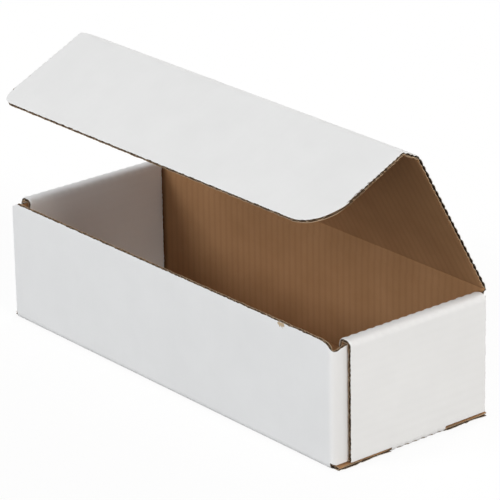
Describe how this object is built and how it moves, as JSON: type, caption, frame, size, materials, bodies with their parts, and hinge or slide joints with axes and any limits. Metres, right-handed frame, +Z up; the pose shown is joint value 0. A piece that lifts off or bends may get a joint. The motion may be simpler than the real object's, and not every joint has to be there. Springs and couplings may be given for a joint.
{
  "type": "corrugated mailer box",
  "caption": "Long shallow corrugated mailer box with rolled ends, a hinged lid standing open and a tuck flap, white outside and kraft inside.",
  "frame": {"origin": "centre of the underside of the bottom panel", "axes": "+X along the box's length, -Y towards the front wall, +Y towards the hinged back wall, +Z up"},
  "size_m": [0.35, 0.1436, 0.2001],
  "materials": {
    "board": "white-lined kraft corrugated board, matte"
  },
  "bodies": {
    "tray": {"tray": "board"},
    "lid": {"lid": "board"},
    "tuck_flap": {"tuck_flap": "board"}
  },
  "joints": [
    {"name": "lid_hinge", "type": "hinge", "parent": "tray", "child": "lid", "pos_m": [0, 0.0655, 0.0891], "axis": [-1, 0, 0], "range_deg": [-45, 144.5]},
    {"name": "tuck_flap_hinge", "type": "hinge", "parent": "lid", "child": "tuck_flap", "pos_m": [0, -0.00599, 0.19859], "axis": [-1, 0, 0], "range_deg": [-4, 86]}
  ]
}
